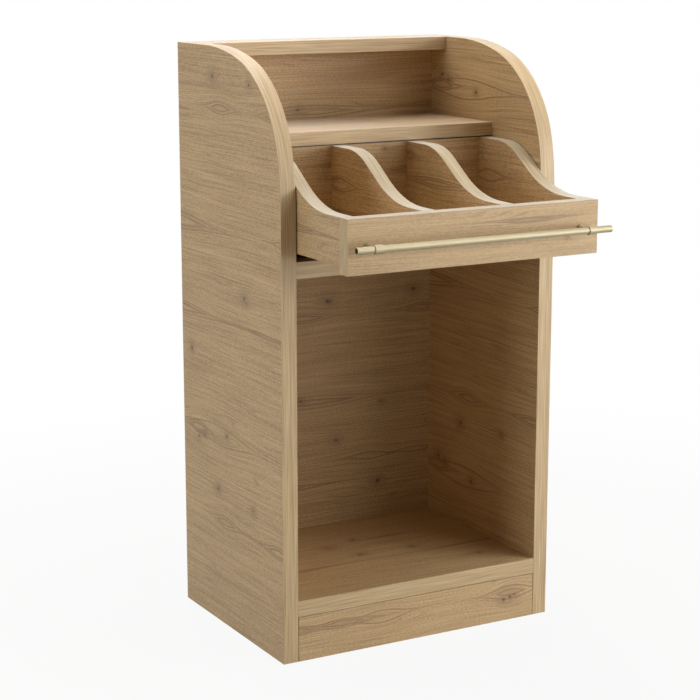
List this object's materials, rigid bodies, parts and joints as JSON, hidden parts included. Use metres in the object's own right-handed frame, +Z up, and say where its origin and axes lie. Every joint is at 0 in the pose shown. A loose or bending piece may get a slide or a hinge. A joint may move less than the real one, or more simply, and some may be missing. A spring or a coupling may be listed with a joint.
{
  "type": "waiter service station",
  "caption": "Tall oak-veneered serving cabinet with rounded side panels, an open compartment, a raised shelf and a pull-out cutlery drawer with an S-curved top and bar handle.",
  "frame": {"origin": "on the floor, at the cabinet's mid-width and in the plane of its front edges", "axes": "+X to the right when facing the cabinet, +Y from the front to the wall, +Z up"},
  "size_m": [0.575, 0.643, 1.1],
  "materials": {
    "oak_board": "matt natural oak veneer on board",
    "oak_strip": "matt natural oak edge strip",
    "beech": "plain",
    "satin_brass": "satin, brushed lengthwise",
    "zinc_steel": "zinc plated",
    "zinc_casting": "as cast zinc",
    "runner_steel": "zinc plated sheet",
    "ball_steel": "polished",
    "cage_plastic": "black"
  },
  "bodies": {
    "cabinet": {"side_panel_left": "oak_board", "side_panel_right": "oak_board", "side_edge_strip_left": "oak_strip", "side_edge_strip_right": "oak_strip", "back_panel": "oak_board", "bottom_shelf": "oak_board", "middle_shelf": "oak_board", "upper_shelf": "oak_board", "top_rail": "oak_board", "board_edge_strips": "oak_strip", "plinth_board": "oak_board", "plinth_blocks": "beech", "plinth_block_screws": "zinc_steel", "cam_fittings": "zinc_casting", "cam_bolts": "zinc_steel", "carcass_dowels": "beech", "runner_cabinet_member_left": "runner_steel", "runner_cabinet_member_right": "runner_steel", "runner_shelf_screws": "zinc_steel"},
    "drawer": {"drawer_front": "oak_board", "drawer_front_long_strips": "oak_strip", "drawer_front_end_strips": "oak_strip", "drawer_side_left": "oak_board", "drawer_side_right": "oak_board", "drawer_divider_left": "oak_board", "drawer_divider_right": "oak_board", "drawer_back": "oak_board", "drawer_bottom": "oak_board", "drawer_side_edge_strips": "oak_strip", "drawer_back_edge_strip": "oak_strip", "drawer_dowels": "beech", "handle_bar": "satin_brass", "handle_post_left": "satin_brass", "handle_post_right": "satin_brass", "handle_screws": "zinc_steel", "handle_washers": "zinc_steel", "runner_drawer_member_left": "runner_steel", "runner_drawer_member_right": "runner_steel", "runner_drawer_screws": "zinc_steel"},
    "middle_member_left": {"runner_middle_member_left": "runner_steel"},
    "lower_cage_left": {"lower_ball_cage_left": "cage_plastic", "lower_bearing_balls_left": "ball_steel"},
    "upper_cage_left": {"upper_ball_cage_left": "cage_plastic", "upper_bearing_balls_left": "ball_steel"},
    "middle_member_right": {"runner_middle_member_right": "runner_steel"},
    "lower_cage_right": {"lower_ball_cage_right": "cage_plastic", "lower_bearing_balls_right": "ball_steel"},
    "upper_cage_right": {"upper_ball_cage_right": "cage_plastic", "upper_bearing_balls_right": "ball_steel"}
  },
  "joints": [
    {"name": "drawer_slide", "type": "slide", "parent": "cabinet", "child": "drawer", "axis": [0, -1, 0], "range_m": [-0.18, 0.12]},
    {"name": "middle_member_left_slide", "type": "slide", "parent": "cabinet", "child": "middle_member_left", "axis": [0, -1, 0], "range_m": [-0.09, 0.06]},
    {"name": "lower_cage_left_slide", "type": "slide", "parent": "cabinet", "child": "lower_cage_left", "axis": [0, -1, 0], "range_m": [-0.045, 0.03]},
    {"name": "upper_cage_left_slide", "type": "slide", "parent": "cabinet", "child": "upper_cage_left", "axis": [0, -1, 0], "range_m": [-0.135, 0.09]},
    {"name": "middle_member_right_slide", "type": "slide", "parent": "cabinet", "child": "middle_member_right", "axis": [0, -1, 0], "range_m": [-0.09, 0.06]},
    {"name": "lower_cage_right_slide", "type": "slide", "parent": "cabinet", "child": "lower_cage_right", "axis": [0, -1, 0], "range_m": [-0.045, 0.03]},
    {"name": "upper_cage_right_slide", "type": "slide", "parent": "cabinet", "child": "upper_cage_right", "axis": [0, -1, 0], "range_m": [-0.135, 0.09]}
  ],
  "couplings": [
    {"joint": "middle_member_left_slide", "follows": "drawer_slide", "ratio": 0.5},
    {"joint": "lower_cage_left_slide", "follows": "drawer_slide", "ratio": 0.25},
    {"joint": "upper_cage_left_slide", "follows": "drawer_slide", "ratio": 0.75},
    {"joint": "middle_member_right_slide", "follows": "drawer_slide", "ratio": 0.5},
    {"joint": "lower_cage_right_slide", "follows": "drawer_slide", "ratio": 0.25},
    {"joint": "upper_cage_right_slide", "follows": "drawer_slide", "ratio": 0.75}
  ]
}
